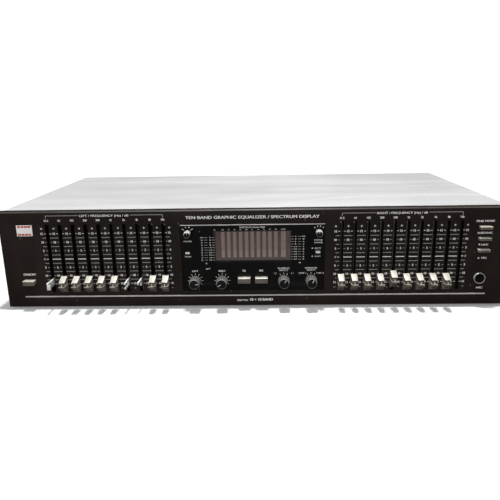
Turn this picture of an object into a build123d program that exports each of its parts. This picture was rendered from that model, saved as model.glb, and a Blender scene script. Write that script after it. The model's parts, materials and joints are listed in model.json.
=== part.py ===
"""Ten-band stereo graphic equalizer, full-width hi-fi component. Millimetres, +Z up, front towards -Y."""
import os

from build123d import *

os.makedirs("parts", exist_ok=True)

# --- Case -----------------------------------------------------------------------------------------
FASCIA_W = 440.0
FASCIA_H = 87.0
FASCIA_D = 8.0  # overall depth of the fascia's rim
FASCIA_WEB = 5.0  # thickness of the face that the slots go through
FASCIA_RIM = 4.0
FASCIA_BEVEL = 1.0
FLOOR_GAP = 2.5  # fascia's lower edge above the surface it stands on
FOOT_H = 10.0
FOOT_R = 13.0
SHEET = 1.0
PLATE = 1.2
COVER_W = 439.0
COVER_TOP = 86.5  # above the fascia's lower edge
COVER_BEND = 1.5
LIP_H = 8.0
CASE_D = 231.0  # fascia's face to the rear panel's outer face
JACK_REACH = 242.0  # fascia's face to the tips of the rear jacks
CAP_RIDGE = 13.2  # how far the slider caps, the foremost parts, stand in front of the fascia

FRONT_Y = (CAP_RIDGE - JACK_REACH) / 2  # puts the middle of the whole depth at Y = 0
PLATE_BACK = FASCIA_D + PLATE

# --- Slide controls -------------------------------------------------------------------------------
BANDS = ["31_5", "63", "125", "250", "500", "1k", "2k", "4k", "8k", "16k"]
SLOT_FIRST_X = 76.3  # slot nearest the middle
SLOT_PITCH = 11.235
SLOT_W = 3.4
SLOT_L = 61.4
SCALE_ZERO = 44.7  # height of the 0 dB mark above the fascia's lower edge
TRAVEL = 45.0
LEVER_T = 1.2
LEVER_H = 6.0
LEVER_LIFT = 1.2  # middle of the lever above the middle of its cap
LEVER_REACH = 13.0  # a bare lever's tip in front of the fascia
PRONG_H = 1.8
CAP_BACK = -2.0  # depth of the cap's back, so in front of the fascia
CAP_H = 14.8
CAP_W = 5.4
CAP_FRONT_W = 4.4
CAP_STEP = 5.0  # reach of the fine step across the top
CAP_SHOULDER = 6.1  # half height at that step
CAP_BROW = (10.4, 3.6)
SCOOP_FLOOR = (8.4, 1.7)
RIDGE_ROOT = (10.9, 0.55)
RIDGE_TIP = 0.35
POT_W = 9.0
POT_L = 66.0
POT_D = 8.0
RAISED = {("right", "500"): 2.7}  # sliders that stand above the bottom of their travel
# Levers that have lost their caps: which prongs of the fork are left, and whether its tip is bent over.
BARE_LEVERS = {
    ("left", "31_5"): ("upper", "web", "tab"),
    ("left", "2k"): ("upper", "lower"),
    ("left", "4k"): ("upper",),
}
BROKEN_LEVERS = {("right", "16k"): 7.0}  # depth behind the fascia at which the stub ends

# --- Centre panel ---------------------------------------------------------------------------------
WINDOW_W = 124.4
WINDOW_H = 59.4
WINDOW_Z = 44.5
WINDOW_PROUD = 1.2
WINDOW_LEDGE = 2.2  # width of the plate's edge that bears on the fascia's face
FILTER_W = 67.0
FILTER_H = 27.4
FILTER_Z = 55.3
KNOB_REACH = 12.5  # how far the knobs stand in front of the fascia
KNOB_BASE_R = 5.2
KNOB_FRONT_R = 4.5
KNOB_DISH_R = 3.9
KNOB_RIM = 0.9  # smooth ring in front of the flutes
FLUTES = 18
FLUTE_SHARE = 0.115  # a flute's radius as a share of the knob's
SHAFT_R = 3.0
SHAFT_FIT = 0.05
SHAFT_REACH = 9.0
KNOB_Z = 24.2
KNOBS = {
    "attenuator_knob_left": (-50.35, -90.0),
    "attenuator_knob_right": (-26.85, 120.0),
    "dubbing_knob": (26.9, -30.0),
    "monitor_knob": (50.6, -30.0),
}  # x and the pointer's angle, anticlockwise from straight up
SMALL_KNOB_R = 3.05
SMALL_KNOB_REACH = 8.0
SMALL_SHAFT_R = 1.5
SMALL_SHAFT_REACH = 6.0
SMALL_KNOBS = {"meter_knob": (-55.5, 66.8), "meter_range_knob": (56.85, 66.6)}

# --- Push buttons: x, z, width, height, reach in front of the fascia ---------------------------------
BUTTONS = {
    "power_button": (-197.6, 23.85, 10.2, 4.1, 5.3),
    "equalizer_button": (-7.6, 25.0, 10.9, 4.7, 6.0),
    "record_button": (7.4, 25.0, 10.9, 4.7, 6.0),
    "pink_noise_button": (196.9, 69.2, 10.0, 2.5, 4.4),
    "subsonic_button": (196.9, 59.55, 10.0, 2.5, 4.4),
    "line_mic_button": (196.9, 49.4, 10.0, 2.5, 4.4),
    "display_button": (-56.25, 49.4, 3.9, 1.6, 2.6),
}
BUTTON_GAP = 0.35
BUTTON_BACK = 3.0
STEM_W = 3.2
STEM_H = 1.6
STEM_BACK = 14.0
SELECTOR = (56.3, 49.1, 3.9, 1.6, 2.6)
SELECTOR_TRAVEL = 1.7  # each way

# --- Right end and rear -----------------------------------------------------------------------------
MIC_X = 196.0
MIC_Z = 24.3
MIC_BORE_R = 3.3
MIC_RING_R = 4.9
PHONO_R = 4.15
PHONO_BLOCKS_X = [-60.0, 20.0, 100.0]
PHONO_Z = 42.0
PHONO_PITCH_X = 18.0
PHONO_PITCH_Z = 16.0
GLAND_X = 180.0
GLAND_Z = 26.0
GLAND_BORE_R = 3.4

# --- Screws -----------------------------------------------------------------------------------------
SCREW_R = 1.45
SCREW_HOLE_R = 1.5
SCREW_HEAD_R = 2.8
SCREW_HEAD_H = 1.6
SCREW_L = 7.0
FOOT_RECESS = 4.0  # depth of the hole under each foot that its screw's head sits in

# --- Boards and inside ------------------------------------------------------------------------------
BOARD_T = 1.6
BOARD_BACK = PLATE_BACK + POT_D + BOARD_T
CONTROL_BODY_D = 10.0
CONTROL_BOARD_FRONT = PLATE_BACK + CONTROL_BODY_D
MAIN_BOARD = (55.0, 145.0, 300.0, 150.0)  # x, y, width, depth
STANDOFF_H = 6.0
STANDOFF_X = 142.0  # from the board's middle
STANDOFF_Y = 67.0
TRAY_Z = FOOT_H - FLOOR_GAP  # underside of the tray above the fascia's lower edge
SIDE_SCREW_Z = FOOT_H + 9.0
PANEL_SCREW_Z = TRAY_Z + 7.0
TRANSFORMER_X = -160.0
TRANSFORMER_Y = 165.0
CORE_T = 30.0


def front_plane(depth):
    """Plane facing forward, depth behind the fascia's face; y runs up from the fascia's lower edge."""
    return Plane(origin=(0, FRONT_Y + depth, FLOOR_GAP), x_dir=(1, 0, 0), z_dir=(0, -1, 0))


def level_plane(height):
    """Horizontal plane above the fascia's lower edge; y runs back from the fascia's face."""
    return Plane(origin=(0, FRONT_Y, FLOOR_GAP + height), x_dir=(1, 0, 0), z_dir=(0, 0, 1))


def rear_seat(x, z, depth):
    """Plane facing backward under a screw's head, depth behind the fascia's face."""
    return Plane(origin=(x, FRONT_Y + depth, FLOOR_GAP + z), x_dir=(-1, 0, 0), z_dir=(0, 1, 0))


def block(x, z, width, height, back, front, mode=Mode.ADD):
    """Rectangular bar that runs from one depth behind the fascia's face forward to another."""
    with BuildSketch(front_plane(back)) as outline:
        with Locations((x, z)):
            Rectangle(width, height)
    extrude(outline.sketch, amount=back - front, mode=mode)


def rod(x, z, radius, back, front, mode=Mode.ADD):
    """Round bar that runs from one depth behind the fascia's face forward to another."""
    with BuildSketch(front_plane(back)) as outline:
        with Locations((x, z)):
            Circle(radius)
    extrude(outline.sketch, amount=back - front, mode=mode)


def slab(x, y, width, depth, low, high, mode=Mode.ADD):
    """Rectangular slab between two heights; y is its middle behind the fascia's face."""
    with BuildSketch(level_plane(low)) as outline:
        with Locations((x, y)):
            Rectangle(width, depth)
    extrude(outline.sketch, amount=high - low, mode=mode)


def post(x, y, radius, low, high, mode=Mode.ADD):
    """Upright round post between two heights."""
    with BuildSketch(level_plane(low)) as outline:
        with Locations((x, y)):
            Circle(radius)
    extrude(outline.sketch, amount=high - low, mode=mode)


def pan_screw(seat):
    """Cross-head screw; seat is the plane under its head, facing outwards."""
    with BuildSketch(seat) as head:
        Circle(SCREW_HEAD_R)
    extrude(head.sketch, amount=SCREW_HEAD_H)
    with BuildSketch(seat.offset(SCREW_HEAD_H)) as cross:
        Rectangle(SCREW_HEAD_R * 1.1, 0.7)
        Rectangle(0.7, SCREW_HEAD_R * 1.1)
    extrude(cross.sketch, amount=-SCREW_HEAD_H / 2, mode=Mode.SUBTRACT)
    with BuildSketch(seat) as shank:
        Circle(SCREW_R)
    extrude(shank.sketch, amount=-SCREW_L)


def screw_holes(seats):
    """Clearance holes along each screw's shank."""
    for seat in seats:
        with BuildSketch(seat) as hole:
            Circle(SCREW_HOLE_R)
        extrude(hole.sketch, amount=-SCREW_L, mode=Mode.SUBTRACT)


def slot_x(side, band):
    """Both banks run from the lowest band on their left to the highest on their right."""
    step = BANDS.index(band)
    if side == "left":
        return -SLOT_FIRST_X - SLOT_PITCH * (len(BANDS) - 1 - step)
    return SLOT_FIRST_X + SLOT_PITCH * step


def save(piece, name):
    """Label a finished piece and write it out."""
    piece.label = name
    export_step(piece, f"parts/{name}.step")


SLOTS = {(side, band): slot_x(side, band) for side in ("left", "right") for band in BANDS}

# Planes under the heads of the case screws.
SIDE_SEATS = [
    Plane(origin=(end * COVER_W / 2, FRONT_Y + y, SIDE_SCREW_Z), x_dir=(0, 1, 0), z_dir=(end, 0, 0))
    for end in (-1, 1)
    for y in (38.0, 205.0)
]
LIP_SEATS = [rear_seat(x, COVER_TOP - LIP_H / 2, CASE_D + SHEET) for x in (-200.0, 0.0, 200.0)]
PANEL_SEATS = [rear_seat(x, PANEL_SCREW_Z, CASE_D) for x in (-205.0, -70.0, 70.0, 205.0)]
FOOT_PLACES = [(-175.0, 36.0), (175.0, 36.0), (-175.0, 205.0), (175.0, 205.0)]
FOOT_SEATS = [
    Plane(origin=(x, FRONT_Y + y, FOOT_RECESS), x_dir=(1, 0, 0), z_dir=(0, 0, -1))
    for x, y in FOOT_PLACES
]
BOSS_PLACES = [(-209.0, 20.0), (209.0, 20.0), (-209.0, 67.0), (209.0, 67.0)]
BOSS_SEATS = [rear_seat(x, z, PLATE_BACK) for x, z in BOSS_PLACES]
STANDOFF_PLACES = [
    (MAIN_BOARD[0] + across * STANDOFF_X, MAIN_BOARD[1] + along * STANDOFF_Y)
    for across in (-1, 0, 1)
    for along in (-1, 1)
]
MAIN_BOARD_TOP = TRAY_Z + SHEET + STANDOFF_H + BOARD_T
BOARD_SEATS = [
    Plane(origin=(x, FRONT_Y + y, FLOOR_GAP + MAIN_BOARD_TOP), x_dir=(1, 0, 0), z_dir=(0, 0, 1))
    for x, y in STANDOFF_PLACES
]

# --- Fascia -----------------------------------------------------------------------------------------
with BuildPart() as fascia:
    block(0, FASCIA_H / 2, FASCIA_W, FASCIA_H, FASCIA_D, 0)
    chamfer(fascia.faces().sort_by(Axis.Y)[0].edges(), length=FASCIA_BEVEL)
    pocket_w = FASCIA_W - 2 * FASCIA_RIM
    pocket_h = FASCIA_H - 2 * FASCIA_RIM
    block(0, FASCIA_H / 2, pocket_w, pocket_h, FASCIA_D, FASCIA_WEB, Mode.SUBTRACT)
    for x, z in BOSS_PLACES:
        rod(x, z, 3.5, FASCIA_D, FASCIA_WEB)
    screw_holes(BOSS_SEATS)
    with BuildSketch(front_plane(FASCIA_WEB)):
        with Locations([(x, SCALE_ZERO) for x in SLOTS.values()]):
            Rectangle(SLOT_W, SLOT_L)
        with Locations((0, WINDOW_Z)):
            Rectangle(WINDOW_W - 2 * WINDOW_LEDGE, WINDOW_H - 2 * WINDOW_LEDGE)
        with Locations((MIC_X, MIC_Z)):
            Circle(4.2)
        for name in ("power_button", "pink_noise_button", "subsonic_button", "line_mic_button"):
            x, z, width, height, _ = BUTTONS[name]
            with Locations((x, z)):
                Rectangle(width + 2 * BUTTON_GAP, height + 2 * BUTTON_GAP)
    extrude(amount=FASCIA_WEB, mode=Mode.SUBTRACT)
    # shallow grooves that seat the trim strip and the badge
    block(-0.85, 10.0, 406.1, 1.1, 0.5, 0, Mode.SUBTRACT)
    block(-197.2, 70.5, 13.7, 9.6, 0.5, 0, Mode.SUBTRACT)
save(fascia.part, "fascia")

with BuildPart() as trim_strip:
    block(-0.85, 10.0, 406.0, 1.0, 0.5, -0.4)
save(trim_strip.part, "trim_strip")

with BuildPart() as badge_plate:
    block(-197.2, 70.5, 13.6, 9.5, 0.5, -0.4)
    for z in (67.6, 73.4):
        block(-197.2, z, 11.6, 1.6, -0.4, -0.2, Mode.SUBTRACT)
save(badge_plate.part, "badge_plate")

# --- Centre window ----------------------------------------------------------------------------------
WINDOW_BUTTONS = ("equalizer_button", "record_button", "display_button")

with BuildPart() as window_plate:
    block(0, WINDOW_Z, WINDOW_W, WINDOW_H, 0, -WINDOW_PROUD)
    chamfer(window_plate.faces().sort_by(Axis.Y)[0].edges(), length=0.6)
    inset = 2 * WINDOW_LEDGE + 0.2
    block(0, WINDOW_Z, WINDOW_W - inset, WINDOW_H - inset, 1.5, 0)
    block(0, FILTER_Z, FILTER_W + 0.1, FILTER_H + 0.1, 1.5, -WINDOW_PROUD, Mode.SUBTRACT)
    for x, _ in KNOBS.values():
        rod(x, KNOB_Z, SHAFT_R + 0.5, 1.5, -WINDOW_PROUD, Mode.SUBTRACT)
    for x, z in SMALL_KNOBS.values():
        rod(x, z, SMALL_SHAFT_R + 0.5, 1.5, -WINDOW_PROUD, Mode.SUBTRACT)
    for name in WINDOW_BUTTONS:
        x, z, width, height, _ = BUTTONS[name]
        block(x, z, width + 2 * BUTTON_GAP, height + 2 * BUTTON_GAP, 1.5, -WINDOW_PROUD, Mode.SUBTRACT)
    x, z, width, height, _ = SELECTOR
    slot_h = height + 2 * (SELECTOR_TRAVEL + BUTTON_GAP)
    block(x, z, width + 2 * BUTTON_GAP, slot_h, 1.5, -WINDOW_PROUD, Mode.SUBTRACT)
save(window_plate.part, "window_plate")

with BuildPart() as display_filter:
    block(0, FILTER_Z, FILTER_W, FILTER_H, 1.2, -WINDOW_PROUD + 0.2)
save(display_filter.part, "display_filter")

with BuildPart() as display_tube:
    block(0, FILTER_Z, 72.0, 30.0, 8.0, 2.5)
    block(0, FILTER_Z, 60.0, 24.0, CONTROL_BOARD_FRONT, 8.0)
    rod(37.6, FILTER_Z, 1.6, 6.8, 3.6)
save(display_tube.part, "display_tube")

# --- Chassis ----------------------------------------------------------------------------------------
with BuildPart() as front_chassis_plate:
    block(0, 43.5, 435.0, 76.0 - TRAY_Z + 3, PLATE_BACK, FASCIA_D)
    with BuildSketch(front_plane(PLATE_BACK)):
        with Locations([(x, SCALE_ZERO + LEVER_LIFT) for x in SLOTS.values()]):
            Rectangle(3.0, TRAVEL + LEVER_H + 3)
        with Locations((0, FILTER_Z)):
            Rectangle(61.0, 25.0)
        with Locations((MIC_X, MIC_Z)):
            Circle(4.2)
        with Locations([(x, KNOB_Z) for x, _ in KNOBS.values()]):
            Circle(3.6)
        with Locations(list(SMALL_KNOBS.values())):
            Circle(2.4)
        with Locations([(place[0], place[1]) for place in BUTTONS.values()]):
            Rectangle(STEM_W + 1, STEM_H + 1)
        with Locations((SELECTOR[0], SELECTOR[1])):
            Rectangle(STEM_W + 1, STEM_H + 1 + 2 * SELECTOR_TRAVEL)
    extrude(amount=PLATE, mode=Mode.SUBTRACT)
    screw_holes(BOSS_SEATS)
save(front_chassis_plate.part, "front_chassis_plate")

TRAY_W = COVER_W - 2 * SHEET - 0.2
TRAY_D = CASE_D - SHEET - PLATE_BACK
TRAY_Y = PLATE_BACK + TRAY_D / 2

with BuildPart() as chassis_tray:
    slab(0, TRAY_Y, TRAY_W, TRAY_D, TRAY_Z, TRAY_Z + SHEET)
    for end in (-1, 1):
        slab(end * (TRAY_W - SHEET) / 2, TRAY_Y, SHEET, TRAY_D, TRAY_Z, TRAY_Z + 15)
    slab(0, CASE_D - 1.5 * SHEET, TRAY_W, SHEET, TRAY_Z, TRAY_Z + 12)
    for x, y in STANDOFF_PLACES:
        post(x, y, 3.0, TRAY_Z + SHEET, TRAY_Z + SHEET + STANDOFF_H)
    screw_holes(SIDE_SEATS + PANEL_SEATS + FOOT_SEATS + BOARD_SEATS)
save(chassis_tray.part, "chassis_tray")

REAR_INNER = CASE_D - SHEET

with BuildPart() as rear_panel:
    panel_top = COVER_TOP - SHEET - 0.4
    block(0, (TRAY_Z + panel_top) / 2, COVER_W - 2 * SHEET - 2.0, panel_top - TRAY_Z, CASE_D, REAR_INNER)
    for x in PHONO_BLOCKS_X:
        block(x, PHONO_Z, 34.0, 31.0, CASE_D, REAR_INNER, Mode.SUBTRACT)
    rod(GLAND_X, GLAND_Z, 6.0, CASE_D, REAR_INNER, Mode.SUBTRACT)
    screw_holes(LIP_SEATS + PANEL_SEATS)
save(rear_panel.part, "rear_panel")

with BuildPart() as top_cover:
    side_h = COVER_TOP - TRAY_Z
    with BuildSketch(front_plane(CASE_D)) as cover_outline:
        with Locations((0, TRAY_Z + side_h / 2)):
            Rectangle(COVER_W, side_h)
        fillet(cover_outline.vertices().group_by(Axis.Y)[-1], COVER_BEND)
    extrude(amount=CASE_D - FASCIA_D)
    with BuildSketch(front_plane(CASE_D)) as cover_inside:
        with Locations((0, TRAY_Z + (side_h - SHEET) / 2)):
            Rectangle(COVER_W - 2 * SHEET, side_h - SHEET)
        fillet(cover_inside.vertices().group_by(Axis.Y)[-1], COVER_BEND - SHEET)
    extrude(amount=CASE_D - FASCIA_D, mode=Mode.SUBTRACT)
    # turned-down lip over the top of the rear panel
    block(0, COVER_TOP - LIP_H / 2, COVER_W - 2 * COVER_BEND, LIP_H, CASE_D + SHEET, CASE_D)
    block(0, COVER_TOP - SHEET / 2, COVER_W - 2 * COVER_BEND, SHEET, CASE_D, CASE_D - 5)
    screw_holes(SIDE_SEATS + LIP_SEATS)
save(top_cover.part, "top_cover")

with BuildPart() as feet:
    for x, y in FOOT_PLACES:
        post(x, y, FOOT_R, -FLOOR_GAP, TRAY_Z)
    chamfer(feet.faces().group_by(Axis.Z)[0].edges(), length=1.0)
    for x, y in FOOT_PLACES:
        post(x, y, 4.0, -FLOOR_GAP, FOOT_RECESS - FLOOR_GAP, Mode.SUBTRACT)
    screw_holes(FOOT_SEATS)
save(feet.part, "feet")

with BuildPart() as case_screws:
    for seat in SIDE_SEATS + LIP_SEATS + PANEL_SEATS + FOOT_SEATS + BOSS_SEATS:
        pan_screw(seat)
save(case_screws.part, "case_screws")

with BuildPart() as board_screws:
    for seat in BOARD_SEATS:
        pan_screw(seat)
save(board_screws.part, "board_screws")

# --- Slide potentiometers and their boards ------------------------------------------------------------
for side in ("left", "right"):
    places = [(SLOTS[side, band], SCALE_ZERO) for band in BANDS]
    middle = sum(x for x, _ in places) / len(places)
    with BuildPart() as slide_pots:
        with BuildSketch(front_plane(PLATE_BACK + POT_D)):
            with Locations(places):
                Rectangle(POT_W, POT_L)
        extrude(amount=POT_D)
        with BuildSketch(front_plane(PLATE_BACK + POT_D)):
            with Locations(places):
                Rectangle(POT_W - 1.6, POT_L - 1.6)
        extrude(amount=POT_D - 0.8, mode=Mode.SUBTRACT)
        with BuildSketch(front_plane(PLATE_BACK + 0.8)):
            with Locations([(x, z + LEVER_LIFT) for x, z in places]):
                Rectangle(2.2, TRAVEL + LEVER_H + 2)
        extrude(amount=0.8, mode=Mode.SUBTRACT)
    save(slide_pots.part, f"slide_pots_{side}")

    with BuildPart() as slider_board:
        block(middle, SCALE_ZERO, SLOT_PITCH * 10, POT_L + 2, BOARD_BACK, BOARD_BACK - BOARD_T)
    save(slider_board.part, f"slider_board_{side}")

# --- Slide controls: lever, carriage and cap ------------------------------------------------------------
def slider_cap(x, z, pocket_front):
    """Cap with a sloping top and underside, a finger scoop above and below its ridge, and narrowing flanks.

    The side profile's points give the reach in front of the fascia, then the height about the middle."""
    side_view = Plane(origin=(x - CAP_W / 2, FRONT_Y, FLOOR_GAP + z), x_dir=(0, -1, 0), z_dir=(1, 0, 0))
    with BuildSketch(side_view) as profile:
        with BuildLine():
            back = Line((-CAP_BACK, 0), (-CAP_BACK, CAP_H / 2))
            top = Polyline(back @ 1, (CAP_STEP, CAP_SHOULDER), (CAP_STEP + 0.2, CAP_SHOULDER - 0.3), CAP_BROW)
            scoop = ThreePointArc(top @ 1, SCOOP_FLOOR, RIDGE_ROOT)
            Polyline(scoop @ 1, (CAP_RIDGE, RIDGE_TIP), (CAP_RIDGE, 0))
            mirror(about=Plane.XZ)
        make_face()
    extrude(profile.sketch, amount=CAP_W)
    reach = CAP_RIDGE + 1
    for end in (-1, 1):
        with BuildSketch(Plane(origin=(x, FRONT_Y, FLOOR_GAP + z - CAP_H))) as flank:
            with BuildLine():
                Polyline(
                    (end * CAP_W / 2, CAP_BACK),
                    (end * CAP_FRONT_W / 2, -reach),
                    (end * CAP_W, -reach),
                    (end * CAP_W, CAP_BACK),
                    close=True,
                )
            make_face()
        extrude(flank.sketch, amount=2 * CAP_H, mode=Mode.SUBTRACT)
    pocket_z = z + LEVER_LIFT
    block(x, pocket_z, LEVER_T + 0.1, LEVER_H + 0.1, CAP_BACK, pocket_front - 0.05, Mode.SUBTRACT)


def bare_lever_end(x, middle_z, shoulder, remains):
    """What is left of the forked end of a lever whose cap has come off."""
    prong_z = (LEVER_H - PRONG_H) / 2
    if "upper" in remains:
        block(x, middle_z + prong_z, LEVER_T, PRONG_H, shoulder, -LEVER_REACH)
    if "lower" in remains:
        block(x, middle_z - prong_z, LEVER_T, PRONG_H, shoulder, -LEVER_REACH)
    web_z = middle_z - PRONG_H / 2
    web_h = LEVER_H - PRONG_H
    if "web" in remains:
        block(x, web_z, LEVER_T, web_h, shoulder, -LEVER_REACH)
    if "tab" in remains:
        block(x + PRONG_H / 2, web_z, LEVER_T + PRONG_H, web_h, 1.0 - LEVER_REACH, -LEVER_REACH)


for (side, band), x in SLOTS.items():
    z = SCALE_ZERO - TRAVEL / 2 + RAISED.get((side, band), 0.0)
    lever_z = z + LEVER_LIFT
    with BuildPart() as slider:
        if (side, band) in BROKEN_LEVERS:
            lever_front = BROKEN_LEVERS[side, band]
        elif (side, band) in BARE_LEVERS:
            lever_front = -2.5
            bare_lever_end(x, lever_z, lever_front, BARE_LEVERS[side, band])
        else:
            lever_front = -6.5
            slider_cap(x, z, lever_front)
        block(x, lever_z, LEVER_T, LEVER_H, PLATE_BACK + 2.5, lever_front)
        block(x, z, 6.0, 8.0, PLATE_BACK + 5.0, PLATE_BACK + 1.6)
    save(slider.part, f"slider_{side}_{band}")

# --- Rotary controls --------------------------------------------------------------------------------
KNOB_BACK = -WINDOW_PROUD - 1.0


def fluted_outline(x, radius, depth):
    """Knob's outline at one depth, with flutes in proportion to its radius."""
    with BuildSketch(front_plane(depth)) as outline:
        with Locations((x, KNOB_Z)):
            Circle(radius)
            with PolarLocations(radius, FLUTES):
                Circle(radius * FLUTE_SHARE, mode=Mode.SUBTRACT)
    return outline.sketch


for name, (x, pointer) in KNOBS.items():
    with BuildPart() as knob:
        rim_back = KNOB_RIM - KNOB_REACH
        outlines = [fluted_outline(x, KNOB_BASE_R, KNOB_BACK), fluted_outline(x, KNOB_FRONT_R, rim_back)]
        loft(outlines, ruled=True)
        rod(x, KNOB_Z, KNOB_FRONT_R, rim_back, -KNOB_REACH)
        chamfer(knob.faces().sort_by(Axis.Y)[0].edges(), length=0.3)
        # dished front and pointer groove
        rod(x, KNOB_Z, KNOB_DISH_R, 0.3 - KNOB_REACH, -KNOB_REACH, Mode.SUBTRACT)
        with BuildSketch(front_plane(0.7 - KNOB_REACH)):
            with Locations(Location((x, KNOB_Z), pointer)):
                with Locations((0, KNOB_DISH_R / 2)):
                    Rectangle(0.8, KNOB_DISH_R)
        extrude(amount=0.4, mode=Mode.SUBTRACT)
        rod(x, KNOB_Z, SHAFT_R + SHAFT_FIT, KNOB_BACK, -SHAFT_REACH - SHAFT_FIT, Mode.SUBTRACT)
        rod(x, KNOB_Z, SHAFT_R, PLATE_BACK + 6.0, -SHAFT_REACH)
    save(knob.part, name)

for name, (x, z) in SMALL_KNOBS.items():
    with BuildPart() as small_knob:
        knob_back = -WINDOW_PROUD - 0.5
        groove_floor = 0.4 - SMALL_KNOB_REACH
        rod(x, z, SMALL_KNOB_R, knob_back, -SMALL_KNOB_REACH)
        chamfer(small_knob.faces().sort_by(Axis.Y)[0].edges(), length=0.4)
        block(x, z + SMALL_KNOB_R / 2, 0.6, SMALL_KNOB_R, groove_floor, -SMALL_KNOB_REACH, Mode.SUBTRACT)
        rod(x, z, SMALL_SHAFT_R + SHAFT_FIT, knob_back, -SMALL_SHAFT_REACH - SHAFT_FIT, Mode.SUBTRACT)
        rod(x, z, SMALL_SHAFT_R, PLATE_BACK + 6.0, -SMALL_SHAFT_REACH)
    save(small_knob.part, name)

with BuildPart() as rotary_pots:
    for x, _ in KNOBS.values():
        block(x, KNOB_Z, 17.0, 17.0, CONTROL_BOARD_FRONT, PLATE_BACK)
        rod(x, KNOB_Z, 3.5, PLATE_BACK, 3.0)
        rod(x, KNOB_Z, SHAFT_R + SHAFT_FIT, PLATE_BACK + 7.0, 3.0, Mode.SUBTRACT)
    for x, z in SMALL_KNOBS.values():
        block(x, z, 8.0, 8.0, CONTROL_BOARD_FRONT, PLATE_BACK)
        rod(x, z, 2.3, PLATE_BACK, 4.0)
        rod(x, z, SMALL_SHAFT_R + SHAFT_FIT, PLATE_BACK + 7.0, 4.0, Mode.SUBTRACT)
save(rotary_pots.part, "rotary_pots")

# --- Push buttons, selector and the switches behind them ------------------------------------------------
for name, (x, z, width, height, reach) in BUTTONS.items():
    with BuildPart() as button:
        block(x, z, width, height, BUTTON_BACK, -reach)
        fillet(button.faces().sort_by(Axis.Y)[0].edges(), 0.5)
        block(x, z, STEM_W, STEM_H, STEM_BACK, BUTTON_BACK)
    save(button.part, name)

with BuildPart() as range_selector:
    x, z, width, height, reach = SELECTOR
    block(x, z, width, height, BUTTON_BACK, -reach)
    fillet(range_selector.faces().sort_by(Axis.Y)[0].edges(), 0.5)
    block(x, z, STEM_W, STEM_H, STEM_BACK, BUTTON_BACK)
save(range_selector.part, "range_selector")

with BuildPart() as switch_bodies:
    for x, z, *_ in BUTTONS.values():
        block(x, z, STEM_W + 3.4, STEM_H + 3.4, CONTROL_BOARD_FRONT, PLATE_BACK)
        block(x, z, STEM_W + 0.7, STEM_H + 0.7, CONTROL_BOARD_FRONT - 1.0, PLATE_BACK, Mode.SUBTRACT)
    x, z, *_ = SELECTOR
    block(x, z, STEM_W + 3.4, STEM_H + 3.4 + 2 * SELECTOR_TRAVEL, CONTROL_BOARD_FRONT, PLATE_BACK)
    well_h = STEM_H + 0.7 + 2 * SELECTOR_TRAVEL
    block(x, z, STEM_W + 0.7, well_h, CONTROL_BOARD_FRONT - 1.0, PLATE_BACK, Mode.SUBTRACT)
save(switch_bodies.part, "switch_bodies")

with BuildPart() as control_board:
    board_back = CONTROL_BOARD_FRONT + BOARD_T
    block(0, 44.0, 126.0, 62.0, board_back, CONTROL_BOARD_FRONT)
    block(-200.0, 30.0, 22.0, 36.0, board_back, CONTROL_BOARD_FRONT)
    block(200.0, 57.0, 22.0, 40.0, board_back, CONTROL_BOARD_FRONT)
save(control_board.part, "control_board")

# --- Main board, its components and the transformer -----------------------------------------------------
with BuildPart() as main_board:
    slab(*MAIN_BOARD, MAIN_BOARD_TOP - BOARD_T, MAIN_BOARD_TOP)
    screw_holes(BOARD_SEATS)
save(main_board.part, "main_board")

with BuildPart() as board_components:
    # filter capacitors, coupling capacitors and rows of eight-pin amplifiers
    for x in (-66.0, -38.0):
        post(x, 180.0, 11.0, MAIN_BOARD_TOP, MAIN_BOARD_TOP + 35.0)
    for step in range(10):
        for y in (95.0, 150.0):
            post(-40.0 + 22.0 * step, y, 4.0, MAIN_BOARD_TOP, MAIN_BOARD_TOP + 11.0)
        slab(-40.0 + 22.0 * step, 120.0, 6.4, 9.6, MAIN_BOARD_TOP, MAIN_BOARD_TOP + 3.4)
    # voltage regulator's finned heat sink
    slab(10.0, 190.0, 30.0, 2.0, MAIN_BOARD_TOP, MAIN_BOARD_TOP + 25.0)
    for step in range(5):
        slab(-2.0 + 6.0 * step, 194.0, 1.5, 6.0, MAIN_BOARD_TOP, MAIN_BOARD_TOP + 25.0)
save(board_components.part, "board_components")

with BuildPart() as power_transformer:
    floor = TRAY_Z + SHEET
    # laminated core with its two windows
    slab(TRANSFORMER_X, TRANSFORMER_Y, 66.0, CORE_T, floor, floor + 55.0)
    for x in (TRANSFORMER_X - 16.5, TRANSFORMER_X + 16.5):
        slab(x, TRANSFORMER_Y, 11.0, CORE_T, floor + 11.0, floor + 44.0, Mode.SUBTRACT)
    slab(TRANSFORMER_X, TRANSFORMER_Y, 84.0, CORE_T, floor, floor + 2.0)
    # winding around the middle limb
    with BuildSketch(level_plane(floor + 12.0)):
        with Locations((TRANSFORMER_X, TRANSFORMER_Y)):
            RectangleRounded(42.0, 50.0, 3.0)
            Rectangle(22.2, 30.2, mode=Mode.SUBTRACT)
    extrude(amount=31.0)
save(power_transformer.part, "power_transformer")

# --- Sockets ----------------------------------------------------------------------------------------
with BuildPart() as mic_jack:
    rod(MIC_X, MIC_Z, 4.1, PLATE_BACK, -1.6)
    rod(MIC_X, MIC_Z, MIC_RING_R, 0, -1.6)
    fillet(mic_jack.faces().sort_by(Axis.Y)[0].edges(), 0.6)
    block(MIC_X, MIC_Z, 16.0, 16.0, PLATE_BACK + 23.0, PLATE_BACK)
    rod(MIC_X, MIC_Z, MIC_BORE_R, PLATE_BACK + 21.0, -1.6, Mode.SUBTRACT)
save(mic_jack.part, "mic_jack")

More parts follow.
